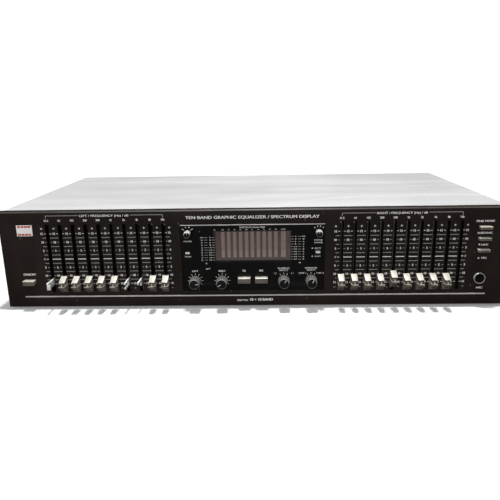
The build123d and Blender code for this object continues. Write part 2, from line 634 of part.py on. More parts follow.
with BuildPart() as phono_jacks:
    jack_places = [
        (x + across * PHONO_PITCH_X / 2, PHONO_Z + up * PHONO_PITCH_Z / 2)
        for x in PHONO_BLOCKS_X
        for across in (-1, 1)
        for up in (-1, 1)
    ]
    for x in PHONO_BLOCKS_X:
        block(x, PHONO_Z, 38.0, 35.0, CASE_D + 2.0, CASE_D)
        block(x, PHONO_Z, 33.8, 30.8, CASE_D, CASE_D - 12.0)
    for x, z in jack_places:
        rod(x, z, PHONO_R - 0.9, JACK_REACH - 0.6, CASE_D + 2.0)
        rod(x, z, 1.75, JACK_REACH - 0.6, JACK_REACH - 10.6, Mode.SUBTRACT)
    # metal barrels around the insulators
    with BuildSketch(front_plane(JACK_REACH)):
        with Locations(jack_places):
            Circle(PHONO_R)
            Circle(PHONO_R - 0.85, mode=Mode.SUBTRACT)
    extrude(amount=JACK_REACH - CASE_D - 2.05)
save(phono_jacks.part, "phono_jacks")

with BuildPart() as cord_gland:
    rod(GLAND_X, GLAND_Z, 8.0, CASE_D + 8.0, CASE_D)
    chamfer(cord_gland.faces().sort_by(Axis.Y)[-1].edges(), length=2.0)
    rod(GLAND_X, GLAND_Z, 5.9, CASE_D, CASE_D - 8.0)
    rod(GLAND_X, GLAND_Z, GLAND_BORE_R, CASE_D + 8.0, CASE_D - 8.0, Mode.SUBTRACT)
save(cord_gland.part, "cord_gland")
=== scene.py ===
import json
import math

import bmesh
import bpy
from mathutils import Matrix, Vector

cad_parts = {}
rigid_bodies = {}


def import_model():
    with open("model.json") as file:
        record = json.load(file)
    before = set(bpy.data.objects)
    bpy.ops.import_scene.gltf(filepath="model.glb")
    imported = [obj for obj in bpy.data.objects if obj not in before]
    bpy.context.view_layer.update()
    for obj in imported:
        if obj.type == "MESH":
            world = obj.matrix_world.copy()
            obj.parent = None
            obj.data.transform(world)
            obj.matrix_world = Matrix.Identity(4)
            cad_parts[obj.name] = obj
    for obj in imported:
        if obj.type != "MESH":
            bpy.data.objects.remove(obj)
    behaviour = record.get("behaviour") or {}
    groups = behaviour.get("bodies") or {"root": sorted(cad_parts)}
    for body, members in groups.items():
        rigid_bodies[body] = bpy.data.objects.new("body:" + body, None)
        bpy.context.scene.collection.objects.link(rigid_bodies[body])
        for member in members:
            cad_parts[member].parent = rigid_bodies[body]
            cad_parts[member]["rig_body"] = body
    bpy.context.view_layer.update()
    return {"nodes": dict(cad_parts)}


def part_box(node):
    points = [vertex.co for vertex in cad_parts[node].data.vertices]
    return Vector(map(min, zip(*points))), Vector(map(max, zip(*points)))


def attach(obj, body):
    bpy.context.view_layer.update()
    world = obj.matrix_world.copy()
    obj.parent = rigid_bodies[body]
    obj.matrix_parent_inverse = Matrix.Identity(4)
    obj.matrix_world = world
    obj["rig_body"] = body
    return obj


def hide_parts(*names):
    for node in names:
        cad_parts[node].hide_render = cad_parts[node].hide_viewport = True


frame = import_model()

MM = 0.001
fascia_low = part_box("fascia")[0]
window_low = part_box("window_plate")[0]
filter_low, filter_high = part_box("display_filter")
rear_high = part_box("rear_panel")[1]

FRONT = fascia_low.y
BASE = fascia_low.z
WINDOW_REACH = (FRONT - window_low.y) / MM
FILTER_REACH = (FRONT - filter_low.y) / MM

# Layout of the two slider banks, in millimetres from the fascia's lower middle.
BANDS = ["31.5", "63", "125", "250", "500", "1k", "2k", "4k", "8k", "16k"]
SLOT_FIRST = 76.3
SLOT_PITCH = 11.235
SCALE_ZERO = 44.7
SCALE_STEP = 3.81  # per 2.5 dB
RIGHT_BANK_DROP = 0.5  # the right bank's printing sits this much lower

# Layout of the window, in the same millimetres.
DISPLAY_COLUMNS = [-25.3, -20.3, -15.2, -10.1, -5.0, 0.0, 5.1, 10.1, 15.1, 20.2, 26.6]
LADDER_STEP = 2.25
SEGMENT_STEP = 2.08


# --- Placing and mesh helpers -----------------------------------------------------------------------
def at(x, z, reach=0.0):
    """Point in the frame, from mm: x and height from the fascia's lower middle, reach in front of it."""
    return Vector((x * MM, FRONT - reach * MM, BASE + z * MM))


def add_object(name, mesh, materials):
    piece = bpy.data.objects.new(name, mesh)
    for one in materials:
        mesh.materials.append(one)
    bpy.context.scene.collection.objects.link(piece)
    return piece


def shade(mesh, angle):
    """Smooth faces with sharp edges kept above the angle."""
    mesh.polygons.foreach_set("use_smooth", [True] * len(mesh.polygons))
    mesh.set_sharp_from_angle(angle=math.radians(angle))


def from_bmesh(bm, name, materials, angle=None):
    """New object with the bmesh's shape, which ends the bmesh; faces are smooth when an angle is given."""
    mesh = bpy.data.meshes.new(name)
    bm.to_mesh(mesh)
    bm.free()
    if angle:
        shade(mesh, angle)
    return add_object(name, mesh, materials)


def islands(bm):
    """The mesh's separate solids, each a list of faces."""
    left = set(bm.faces)
    found = []
    while left:
        seed = left.pop()
        group, front = [seed], [seed]
        while front:
            face = front.pop()
            for edge in face.edges:
                for other in edge.link_faces:
                    if other in left:
                        left.remove(other)
                        group.append(other)
                        front.append(other)
        found.append(group)
    return found


def group_box(group):
    """Lowest and highest corner of a list of faces."""
    points = [vertex.co for face in group for vertex in face.verts]
    low = Vector([min(p[i] for p in points) for i in range(3)])
    high = Vector([max(p[i] for p in points) for i in range(3)])
    return low, high


def softened(node, bevel, materials, pick=None, facing=None, angle=30.0):
    """Piece with a node's own shape and its sharp edges rounded, standing for the node.

    pick(low, high) gives each separate solid's material index.
    facing(face) then overrides it face by face."""
    bm = bmesh.new()
    bm.from_mesh(frame["nodes"][node].data)
    bmesh.ops.remove_doubles(bm, verts=bm.verts, dist=0.000004)
    bmesh.ops.dissolve_limit(bm, angle_limit=math.radians(0.6), verts=bm.verts, edges=bm.edges)
    sharp = [e for e in bm.edges if len(e.link_faces) == 2 and e.calc_face_angle(0) > math.radians(angle)]
    bmesh.ops.bevel(
        bm, geom=sharp, offset=bevel * MM, offset_type="OFFSET", segments=2, profile=0.6,
        affect="EDGES", clamp_overlap=True,
    )
    if pick:
        for group in islands(bm):
            index = pick(*group_box(group))
            for face in group:
                face.material_index = index
    if facing:
        for face in bm.faces:
            face.material_index = facing(face)
    stand_for(from_bmesh(bm, "soft_" + node, materials, 35), node)


def body_of(node):
    return frame["nodes"][node]["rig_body"]


def stand_for(piece, node):
    """The piece takes a node's place and rides with its body."""
    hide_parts(node)
    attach(piece, body_of(node))


def axis_of(node):
    """x and height of a node's middle, in mm as used by at()."""
    low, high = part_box(node)
    return (low.x + high.x) / 2 / MM, ((low.z + high.z) / 2 - BASE) / MM


# --- Materials ----------------------------------------------------------------------------------------
class Look:
    """A principled material whose colour, roughness and relief are driven by noise in object space."""

    def __init__(self, name, roughness=0.5, metallic=0.0, specular=0.5):
        self.material = bpy.data.materials.new(name)
        self.material.use_nodes = True
        self.nodes = self.material.node_tree.nodes
        self.links = self.material.node_tree.links
        self.shader = self.nodes["Principled BSDF"]
        self.shader.inputs["Roughness"].default_value = roughness
        self.shader.inputs["Metallic"].default_value = metallic
        self.shader.inputs["Specular IOR Level"].default_value = specular
        self.coords = self.nodes.new("ShaderNodeTexCoord").outputs["Object"]

    def stretched(self, stretch, shift=(0, 0, 0), turn=0.0):
        """Object coordinates scaled per axis, shifted, and turned about z in degrees."""
        mapping = self.nodes.new("ShaderNodeMapping")
        mapping.inputs["Scale"].default_value = stretch
        mapping.inputs["Location"].default_value = shift
        mapping.inputs["Rotation"].default_value = (0, 0, math.radians(turn))
        self.links.new(self.coords, mapping.inputs["Vector"])
        return mapping.outputs["Vector"]

    def noise(self, scale, detail=3.0, stretch=None, distortion=0.0, turn=0.0):
        node = self.nodes.new("ShaderNodeTexNoise")
        node.inputs["Scale"].default_value = scale
        node.inputs["Detail"].default_value = detail
        node.inputs["Roughness"].default_value = 0.55
        node.inputs["Distortion"].default_value = distortion
        self.links.new(self.stretched(stretch, turn=turn) if stretch else self.coords, node.inputs["Vector"])
        return node.outputs["Fac"]

    def specks(self, spacing_mm, size, stretch=(1, 1, 1)):
        """1 inside small round specks on a jittered grid, 0 elsewhere."""
        node = self.nodes.new("ShaderNodeTexVoronoi")
        node.inputs["Scale"].default_value = 1000.0 / spacing_mm
        self.links.new(self.stretched(stretch), node.inputs["Vector"])
        return self.ramp(node.outputs["Distance"], [(0.0, 1.0), (size * 0.6, 1.0), (size, 0.0)])

    def ramp(self, factor, stops):
        """Stops are (place, grey value) or (place, colour)."""
        node = self.nodes.new("ShaderNodeValToRGB")
        elements = node.color_ramp.elements
        while len(elements) < len(stops):
            elements.new(0.5)
        for element, (place, value) in zip(elements, stops):
            element.position = place
            element.color = (value, value, value, 1) if isinstance(value, (int, float)) else (*value, 1)
        self.links.new(factor, node.inputs["Fac"])
        return node.outputs["Color"]

    def math(self, operation, a, b):
        node = self.nodes.new("ShaderNodeMath")
        node.operation = operation
        for socket, value in zip(node.inputs, (a, b)):
            if isinstance(value, (int, float)):
                socket.default_value = value
            else:
                self.links.new(value, socket)
        return node.outputs["Value"]

    def mix(self, factor, a, b):
        node = self.nodes.new("ShaderNodeMix")
        node.data_type = "RGBA"
        self.links.new(factor, node.inputs[0])
        for socket, value in ((node.inputs[6], a), (node.inputs[7], b)):
            if isinstance(value, tuple):
                socket.default_value = (*value, 1)
            else:
                self.links.new(value, socket)
        return node.outputs[2]

    def color(self, source):
        self.links.new(source, self.shader.inputs["Base Color"])
        return self

    def rough(self, factor, low, high):
        self.links.new(self.ramp(factor, [(0.3, low), (0.7, high)]), self.shader.inputs["Roughness"])
        return self

    def bump(self, height, strength, depth_mm):
        node = self.nodes.new("ShaderNodeBump")
        node.inputs["Strength"].default_value = strength
        node.inputs["Distance"].default_value = depth_mm * MM
        self.links.new(height, node.inputs["Height"])
        self.links.new(node.outputs["Normal"], self.shader.inputs["Normal"])
        return self


def dusty_black(name, dark, light, roughness, specular, dust, grain):
    """Black surface with cloudy tone, fine grain and scattered dust."""
    look = Look(name, roughness=roughness, specular=specular)
    cloud = look.ramp(look.noise(22.0, 4.0), [(0.35, dark), (0.7, light)])
    patches = look.ramp(look.noise(38.0, 2.0), [(0.5, 0.0), (0.68, 1.0)])
    spots = look.math("MULTIPLY", look.specks(2.6, 0.09), patches)
    lint = look.math("MULTIPLY", look.specks(7.0, 0.06, (1.0, 1.0, 0.45)), 0.8)
    look.color(look.mix(look.math("MAXIMUM", spots, lint), cloud, dust))
    look.rough(look.noise(60.0, 5.0), roughness - 0.05, roughness + 0.08)
    return look.bump(look.noise(2200.0, 2.0), grain, 0.05).material


def cover_paint():
    """Pale satin paint with wipe streaks, faint arcs, hazy patches and a few specks."""
    look = Look("cover_paint", roughness=0.4, specular=0.45)
    haze = look.ramp(look.noise(7.0, 3.0), [(0.3, (0.54, 0.545, 0.54)), (0.7, (0.65, 0.655, 0.65))])
    wipes = look.noise(9.0, 5.0, stretch=(0.35, 3.2, 1.0), distortion=0.6, turn=12.0)
    streak = look.ramp(wipes, [(0.52, 0.0), (0.75, 1.0)])
    rings = look.nodes.new("ShaderNodeTexWave")
    rings.wave_type = "RINGS"
    rings.rings_direction = "Z"
    rings.inputs["Scale"].default_value = 3.2
    rings.inputs["Distortion"].default_value = 1.4
    rings.inputs["Detail"].default_value = 2.0
    look.links.new(look.stretched((1.0, 1.6, 1.0), shift=(-0.16, 0.22, 0.0)), rings.inputs["Vector"])
    arc_lines = look.ramp(rings.outputs["Fac"], [(0.93, 0.0), (0.99, 1.0)])
    arcs = look.math("MULTIPLY", arc_lines, look.ramp(look.noise(5.0, 2.0), [(0.42, 0.0), (0.68, 0.5)]))
    marks = look.math("MAXIMUM", look.math("MULTIPLY", streak, 0.35), arcs)
    tone = look.mix(marks, haze, (0.92, 0.92, 0.92))
    specks = look.specks(8.0, 0.11)
    speckled = look.ramp(look.noise(9.0, 2.0), [(0.48, 0.0), (0.58, 1.0)])
    spots = look.math("MULTIPLY", specks, speckled)
    look.color(look.mix(spots, tone, (1.0, 1.0, 1.0)))
    look.rough(look.noise(14.0, 4.0, stretch=(0.5, 2.0, 1.0)), 0.3, 0.5)
    return look.bump(look.noise(900.0, 3.0), 0.08, 0.06).material


def plated(name, tone, shadow, roughness, metallic):
    """Silver-coated plastic: fine moulding grain, grime in patches."""
    look = Look(name, roughness=roughness, metallic=metallic)
    look.color(look.ramp(look.noise(160.0, 4.0), [(0.3, shadow), (0.6, tone)]))
    look.rough(look.noise(420.0, 3.0), roughness - 0.06, roughness + 0.1)
    return look.bump(look.noise(2600.0, 2.0), 0.06, 0.03).material


def steel(name, tone, roughness, lines=(1.0, 1.0, 12.0), metallic=1.0):
    """Drawn or plated steel with fine lines along the part."""
    look = Look(name, roughness=roughness, metallic=metallic)
    darker = tuple(0.75 * c for c in tone)
    look.color(look.ramp(look.noise(320.0, 4.0, stretch=lines), [(0.3, darker), (0.65, tone)]))
    look.rough(look.noise(500.0, 4.0, stretch=lines), roughness - 0.06, roughness + 0.12)
    return look.bump(look.noise(1500.0, 3.0, stretch=lines), 0.08, 0.03).material


def moulded(name, tone, roughness, grain=0.12, specular=0.4):
    """Plain moulded plastic or rubber with a fine texture."""
    look = Look(name, roughness=roughness, specular=specular)
    lighter = tuple(min(1.0, 1.5 * c + 0.004) for c in tone)
    look.color(look.ramp(look.noise(90.0, 4.0), [(0.35, tone), (0.75, lighter)]))
    look.rough(look.noise(200.0, 3.0), roughness - 0.05, roughness + 0.1)
    return look.bump(look.noise(1600.0, 2.0), grain, 0.06).material


def ink(name, tone, worn):
    """Screen-printed ink with slightly uneven cover."""
    look = Look(name, roughness=0.55, specular=0.3)
    look.color(look.ramp(look.noise(700.0, 3.0), [(0.25, worn), (0.5, tone)]))
    return look.bump(look.noise(3000.0, 2.0), 0.1, 0.01).material


def smoked_display():
    """Smoked pane in front of the unlit display, a little lighter towards its lower edge."""
    look = Look("smoked_filter", roughness=0.22, specular=0.25)
    split = look.nodes.new("ShaderNodeSeparateXYZ")
    look.links.new(look.coords, split.inputs["Vector"])
    height = look.nodes.new("ShaderNodeMapRange")
    height.inputs["From Min"].default_value = filter_low.z
    height.inputs["From Max"].default_value = filter_high.z
    look.links.new(split.outputs["Z"], height.inputs["Value"])
    tones = [(0.0, (0.115, 0.092, 0.085)), (0.3, (0.11, 0.08, 0.075)), (1.0, (0.085, 0.058, 0.056))]
    upright = look.ramp(height.outputs["Result"], tones)
    fog = look.noise(160.0, 4.0)
    look.color(look.mix(look.ramp(fog, [(0.35, 0.0), (0.75, 0.4)]), upright, (0.125, 0.10, 0.095)))
    look.rough(fog, 0.18, 0.3)
    return look.material


def circuit_board():
    """Bare tan board with paler tracks."""
    look = Look("circuit_board", roughness=0.45)
    tracks = look.ramp(look.noise(120.0, 1.0, stretch=(1.0, 0.25, 1.0)), [(0.49, 0.0), (0.51, 1.0)])
    look.color(look.mix(tracks, (0.22, 0.13, 0.045), (0.30, 0.20, 0.075)))
    return look.bump(tracks, 0.15, 0.05).material


PAINT = dusty_black(
    "fascia_paint", dark=(0.0125, 0.0082, 0.0068), light=(0.0205, 0.0142, 0.012), dust=(0.2, 0.185, 0.165),
    roughness=0.52, specular=0.12, grain=0.1,
)
# Painted highlight: lighter copy for the fascia's upper chamfers.
PAINT_HIGHLIGHT = moulded("fascia_painted_highlight", (0.045, 0.04, 0.037), 0.42, 0.05)
GLOSS = dusty_black(
    "gloss_black", dark=(0.0045, 0.004, 0.004), light=(0.0075, 0.0065, 0.0065), dust=(0.2, 0.19, 0.175),
    roughness=0.2, specular=0.14, grain=0.02,
)
# Painted highlight: lighter copy for the window plate's upper chamfer.
GLOSS_HIGHLIGHT = moulded("gloss_black_painted_highlight", (0.2, 0.19, 0.185), 0.3, 0.02)
REAR_PAINT = dusty_black(
    "rear_paint", dark=(0.016, 0.016, 0.016), light=(0.026, 0.026, 0.026), dust=(0.1, 0.1, 0.1),
    roughness=0.5, specular=0.35, grain=0.2,
)
COVER = cover_paint()
TRIM = steel("bright_trim", (0.8, 0.78, 0.76), 0.36, (0.2, 1.0, 6.0), 0.35)
CAP = plated("cap_silver", (0.70, 0.67, 0.585), (0.58, 0.55, 0.475), 0.36, 0.2)
# Painted shade: the next three are darker copies of the cap silver for the cap scoops, the button fronts, and
# the sides and undersides, where the overhead light falls less.
CAP_SCOOP_SHADE = plated("cap_scoop_painted_shade", (0.11, 0.095, 0.08), (0.07, 0.06, 0.05), 0.42, 0.2)
BUTTON_FRONT_SHADE = plated("button_front_painted_shade", (0.17, 0.155, 0.125), (0.10, 0.09, 0.075), 0.4, 0.3)
CAP_SIDE_SHADE = plated("cap_side_painted_shade", (0.36, 0.325, 0.27), (0.26, 0.23, 0.185), 0.4, 0.3)
KNOB = plated("knob_silver", (0.58, 0.57, 0.55), (0.42, 0.41, 0.39), 0.32, 0.7)
# Painted shade: a dark copy of the knob silver for the grooves and lower halves of the knobs.
KNOB_SHADE = plated("knob_painted_shade", (0.11, 0.10, 0.09), (0.06, 0.055, 0.05), 0.45, 0.3)
KNOB_FACE = moulded("knob_face_black", (0.006, 0.0055, 0.005), 0.5, 0.06, 0.12)
ZINC = steel("zinc_steel", (0.52, 0.52, 0.49), 0.36, (3.0, 1.0, 1.0))
LEVER = steel("lever_steel", (0.98, 0.97, 0.93), 0.32, (1.0, 6.0, 1.0), 0.0)
SCREW = steel("screw_steel", (0.45, 0.45, 0.44), 0.32)
RUBBER = moulded("foot_rubber", (0.018, 0.018, 0.018), 0.72, 0.3)
BLACK_PLASTIC = moulded("black_plastic", (0.016, 0.016, 0.016), 0.48)
BOARD = circuit_board()
IRON = moulded("transformer_iron", (0.09, 0.08, 0.07), 0.55, 0.3)
WINDING = moulded("winding_tape", (0.42, 0.27, 0.05), 0.4, 0.2)
SLEEVE = moulded("capacitor_sleeve", (0.02, 0.03, 0.08), 0.35, 0.05)
CHROME = steel("jack_chrome", (0.82, 0.82, 0.82), 0.24, (1.0, 1.0, 1.0), 0.8)
RING = steel("jack_ring", (0.8, 0.79, 0.77), 0.28, (1.0, 1.0, 1.0), 0.6)
# Painted shade: near-black for the strips inside the slots.
SLOT_SHADE = moulded("slot_shade_black", (0.004, 0.004, 0.004), 0.9, 0.5, 0.05)
# Painted shade for the inside of the mic jack.
BORE_SHADE = moulded("jack_bore_painted_shade", (0.008, 0.008, 0.008), 0.6)
TUBE = moulded("display_tube_glass", (0.06, 0.055, 0.052), 0.12, 0.0, 0.5)
FILTER = smoked_display()
SEGMENT = ink("display_segment", (0.25, 0.185, 0.165), (0.21, 0.155, 0.14))
SEGMENT_LOW = ink("display_segment_low", (0.29, 0.23, 0.2), (0.24, 0.19, 0.165))
WHITE_INK = ink("white_ink", (0.92, 0.92, 0.89), (0.74, 0.74, 0.71))
GREY_INK = ink("grey_ink", (0.40, 0.39, 0.375), (0.29, 0.28, 0.27))
BLACK_INK = ink("black_ink", (0.006, 0.0055, 0.0055), (0.009, 0.008, 0.008))
RED_INK = ink("red_ink", (0.55, 0.07, 0.06), (0.4, 0.05, 0.045))
BADGE = moulded("badge_white", (0.95, 0.89, 0.84), 0.4, 0.03)

NODE_LOOKS = {
    "trim_strip": TRIM, "badge_plate": BADGE, "display_filter": FILTER,
    "display_tube": TUBE, "front_chassis_plate": ZINC, "chassis_tray": ZINC, "rear_panel": REAR_PAINT,
    "top_cover": COVER, "feet": RUBBER, "case_screws": SCREW, "board_screws": SCREW, "main_board": BOARD,
    "slider_board_left": BOARD, "slider_board_right": BOARD, "control_board": BOARD, "slide_pots_left": ZINC,
    "slide_pots_right": ZINC, "rotary_pots": ZINC, "switch_bodies": BLACK_PLASTIC, "board_components": SLEEVE,
    "cord_gland": BLACK_PLASTIC,
}
for node, look in NODE_LOOKS.items():
    data = frame["nodes"][node].data
    data.materials.clear()
    data.materials.append(look)


# --- Printed marks and lettering ------------------------------------------------------------------------
OUTLINES = {}


def outline(words):
    """Thin solid lettering in the built-in face, one unit per em, centred on x: (points, faces)."""
    if words not in OUTLINES:
        curve = bpy.data.curves.new("lettering", "FONT")
        curve.body = words
        curve.align_x = "CENTER"
        curve.resolution_u = 3
        curve.extrude = 0.01
        holder = bpy.data.objects.new("lettering", curve)
        bpy.context.scene.collection.objects.link(holder)
        graph = bpy.context.evaluated_depsgraph_get()
        mesh = bpy.data.meshes.new_from_object(holder.evaluated_get(graph))
        OUTLINES[words] = ([v.co.copy() for v in mesh.vertices], [tuple(p.vertices) for p in mesh.polygons])
        bpy.data.objects.remove(holder)
        bpy.data.curves.remove(curve)
        bpy.data.meshes.remove(mesh)
    return OUTLINES[words]


CAPITAL = max(point.y for point in outline("H")[0])


class Print:
    """Marks on one flat face, gathered into one thin piece. x runs right and z up, seen from outside."""

    THICK = 0.04
    SUNK = -0.01

    def __init__(self, origin, right, out):
        self.points, self.faces = [], []
        self.origin, self.right, self.out = origin, right, out

    def place(self, x, z, rise):
        return self.origin + (self.right * x + Vector((0, 0, 1)) * z + self.out * rise) * MM

    def strip(self, x, z, width, height, turn=0.0):
        start = len(self.points)
        c, s = math.cos(math.radians(turn)), math.sin(math.radians(turn))
        for rise in (self.SUNK, self.THICK):
            for u, v in ((-1, -1), (1, -1), (1, 1), (-1, 1)):
                dx, dz = u * width / 2, v * height / 2
                self.points.append(self.place(x + c * dx - s * dz, z + s * dx + c * dz, rise))
        for face in ((0, 3, 2, 1), (4, 5, 6, 7), (0, 1, 5, 4), (1, 2, 6, 5), (2, 3, 7, 6), (3, 0, 4, 7)):
            self.faces.append([start + i for i in face])

    def dot(self, x, z, radius):
        start = len(self.points)
        count = 12
        for rise in (self.SUNK, self.THICK):
            for i in range(count):
                a = 2 * math.pi * i / count
                self.points.append(self.place(x + radius * math.cos(a), z + radius * math.sin(a), rise))
        self.faces.append([start + i for i in reversed(range(count))])
        self.faces.append([start + count + i for i in range(count)])
        for i in range(count):
            j = (i + 1) % count
            self.faces.append([start + i, start + j, start + count + j, start + count + i])

    def words(self, words, x, z, height, width=None, bold=0.0):
        """Lettering centred on x and z; width squeezes or spreads it, bold prints it twice with a shift."""
        points, faces = outline(words)
        scale = height / CAPITAL
        low, high = min(p.x for p in points), max(p.x for p in points)
        across = width / (high - low) if width else scale * 0.92
        for shift in ((-bold / 2, bold / 2) if bold else (0.0,)):
            start = len(self.points)
            rise = self.THICK * (1.0 + (shift > 0) * 0.4)
            for p in points:
                dx = (p.x - (low + high) / 2) * across + shift
                dz = (p.y - CAPITAL / 2) * scale
                self.points.append(self.place(x + dx, z + dz, self.SUNK if p.z < 0 else rise))
            self.faces.extend([start + i for i in face] for face in faces)

    def piece(self, name, look, slot=None):
        mesh = bpy.data.meshes.new(name)
        mesh.from_pydata(self.points, [], self.faces)
        mesh.validate()
        result = add_object(name, mesh, [look])
        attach(result, "case")


RIGHT = Vector((1, 0, 0))
FORWARD = Vector((0, -1, 0))


def front_print(reach=0.0):
    """Empty print on a face that stands the reach in front of the fascia."""
    return Print(at(0, 0, reach), RIGHT, FORWARD)


def around(x, z, radius, turn):
    """Point at a radius from x and z, turned clockwise in degrees from straight up."""
    a = math.radians(turn)
    return x + radius * math.sin(a), z + radius * math.cos(a)


def bank_slots(side):
    """Slot positions of one bank, from its left to its right."""
    steps = [SLOT_FIRST + SLOT_PITCH * i for i in range(len(BANDS))]
    return [-x for x in reversed(steps)] if side == "left" else steps


def bank_scale(side, white, grey):
    """Decibel scale between the slots of one bank, its band names and the bracket over them."""
    slots = bank_slots(side)
    zero = SCALE_ZERO - (RIGHT_BANK_DROP if side == "right" else 0.0)
    columns = [slots[0] - 5.0] + [x + SLOT_PITCH / 2 for x in slots[:-1]] + [slots[-1] + 5.0]
    for column, x in enumerate(columns):
        ends = [1] if column == 0 else ([-1] if column == len(slots) else [-1, 1])
        outer = len(ends) == 1
        for step in range(-6, 7):
            z = zero + step * SCALE_STEP
            if step == 0 and outer:
                white.words("0", x, z, 1.7)
                white.strip(x + ends[0] * 2.6, z, 1.7, 0.5)
            elif step == 0:
                white.strip(x, z, 7.3, 0.62)
            elif step % 2:
                length = 3.4 if outer else 7.3
                grey.strip(x + (ends[0] * 1.8 if outer else 0), z, length, 0.42)
            else:
                white.words(str(abs(step) * 5 // 2), x, z, 1.85, bold=0.2)
                strong = white if abs(step) == 6 else grey
                for end in ends:
                    strong.strip(x + end * 2.9, z, 1.5, 0.42)
        white.strip(x, zero + 27.3, 1.7, 0.5)
        white.strip(x, zero + 27.3, 0.5, 1.7)
        grey.strip(x, zero - 27.2, 1.6, 0.5)
    for band, x in zip(BANDS, slots):
        white.words(band, x, zero + 34.4, 1.7, bold=0.16)
    middle = sum(slots) / len(slots)
    white.words(f"{side.upper()} / FREQUENCY (Hz) / dB", middle, zero + 38.3, 1.75, width=42.5, bold=0.1)
    for end in (-1, 1):
        outer_x = middle + end * (slots[-1] - slots[0]) / 2
        inner_x = middle + end * 22.6
        grey.strip((outer_x + inner_x) / 2, zero + 38.6, abs(outer_x - inner_x), 0.42)
        grey.strip(outer_x, zero + 37.3, 0.42, 2.6)


def fascia_lettering():
    """Scales of both banks, the title, the maker's line and the words beside the buttons."""
    white, grey = front_print(), front_print()
    for side in ("left", "right"):
        bank_scale(side, white, grey)
    white.words("TEN BAND GRAPHIC EQUALIZER / SPECTRUM DISPLAY", 0.1, 80.4, 2.5, width=114.0, bold=0.22)
    white.words("stereo", -9.5, 5.6, 1.9, width=9.5, bold=0.15)
    white.words("10 + 10 BAND", 7.3, 5.8, 2.3, width=20.0, bold=0.35)
    white.words("ON/OFF", -197.6, 30.7, 1.8, width=11.0, bold=0.15)
    white.words("PINK NOISE", 196.9, 74.7, 1.6, width=15.0, bold=0.12)
    white.words("SUBSONIC", 197.3, 64.4, 1.6, width=12.5, bold=0.12)
    white.words("LINE", 198.0, 54.1, 1.6, width=5.8, bold=0.12)
    white.words("MIC", 198.5, 42.3, 1.6, width=4.6, bold=0.12)
    white.words("MIC", 197.1, 15.4, 1.7, width=5.4, bold=0.15)
    for x, z, lean in ((193.4, 54.1, 1), (193.8, 42.3, -1)):
        for row in range(4):
            white.strip(x, z - lean * (row * 0.36 - 0.54), 1.6 - row * 0.45, 0.36)
    white.piece("fascia_lettering", WHITE_INK)
    grey.piece("fascia_scale_ticks", GREY_INK)


LEVEL_TURNS = tuple(range(-150, 151, 30))
SELECTOR_TURNS = (-30, 0, 30)
TICKS = {
    "attenuator_knob_left": LEVEL_TURNS, "attenuator_knob_right": LEVEL_TURNS,
    "dubbing_knob": SELECTOR_TURNS, "monitor_knob": SELECTOR_TURNS,
}
# turns of the dots and of the short lines around each small knob
SMALL_MARKS = {
    "meter_knob": ((-48, -16, 16, 48), (-45, 45)),
    "meter_range_knob": ((-40, -13, 13, 40), ()),
}
# level ladder at each side of the display: middle dashes, top row, both columns of digits, outer dashes
LADDERS = ((-40.2, 63.1, -43.6, -36.4, -33.7), (40.4, 63.3, 43.8, 37.0, 34.3))


def window_lettering():
    """Words, ladders and knob marks on the raised window plate."""
    white, grey = front_print(WINDOW_REACH), front_print(WINDOW_REACH)
    white.words("SPECTRUM ANALYZER", 0.0, 71.7, 1.15, width=22.0)
    for name, x in zip(BANDS, DISPLAY_COLUMNS):
        white.words(name, x, 69.75, 0.95)
    white.words("LEVEL", DISPLAY_COLUMNS[-1], 69.75, 0.95, width=3.6)
    white.words("Hz", -32.2, 69.75, 0.95)
    for row in range(10):
        for middle_x, top_z, near, far, dash_x in LADDERS:
            z = top_z - LADDER_STEP * row
            for x, level in ((near, 10 - 2 * row), (far, -3 * row)):
                digits = str(abs(level))
                white.words(digits, x, z, 0.95, width=1.2 * len(digits))
            grey.strip(middle_x, z, 2.9, 0.32)
            grey.strip(dash_x, z, 2.3, 0.32)
    white.words("dB", -40.2, 40.0, 1.2)
    white.words("dB", 40.8, 40.0, 1.2)
    white.words("METER", -55.6, 59.7, 1.15, width=7.0)
    white.words("METER", 56.6, 59.9, 1.15, width=7.0)
    white.words("RANGE", 56.6, 57.7, 1.15, width=7.0)
    white.words("PEAK", -55.8, 46.2, 1.15, width=5.6)
    for word, z in (("SLOW", 52.75), ("FAST", 45.45)):
        white.words(word, 56.1, z, 1.1, width=5.2)
        white.dot(51.4, z, 0.5)
    for node, (dots, lines) in SMALL_MARKS.items():
        x, z = axis_of(node)
        for turn in dots:
            white.dot(*around(x, z, 5.6, turn), 0.42)
        for turn in lines:
            white.strip(*around(x, z, 4.5, turn), 0.3, 1.0, turn=-turn)
    white.words("LEFT", -50.35, 32.9, 1.4, width=5.2, bold=0.1)
    white.words("RIGHT", -26.85, 32.9, 1.4, width=6.0, bold=0.1)
    white.words("SET", -38.9, 34.9, 1.2, width=4.2)
    white.words("EQ", -7.6, 33.0, 1.5, bold=0.12)
    white.words("REC", 7.4, 33.0, 1.5, bold=0.12)
    white.words("DUBBING", 26.9, 35.0, 1.3, width=10.0)
    white.words("SELECT", 26.9, 33.2, 1.3, width=7.8)
    white.words("1-2", 19.6, 30.4, 1.3)
    white.words("2-1", 34.2, 30.4, 1.3)
    white.words("MONITOR", 50.6, 35.0, 1.3, width=10.4)
    white.words("SELECT", 50.6, 33.2, 1.3, width=7.8)
    white.words("TAPE 1", 42.9, 30.4, 1.3, width=6.6)
    white.words("TAPE 2", 58.3, 30.4, 1.3, width=6.4)
    for node, turns in TICKS.items():
        x, z = axis_of(node)
        for turn in turns:
            white.strip(*around(x, z, 6.0, turn), 0.34, 1.4, turn=-turn)
    white.piece("window_lettering", WHITE_INK)
    grey.piece("window_ladder_dashes", GREY_INK)


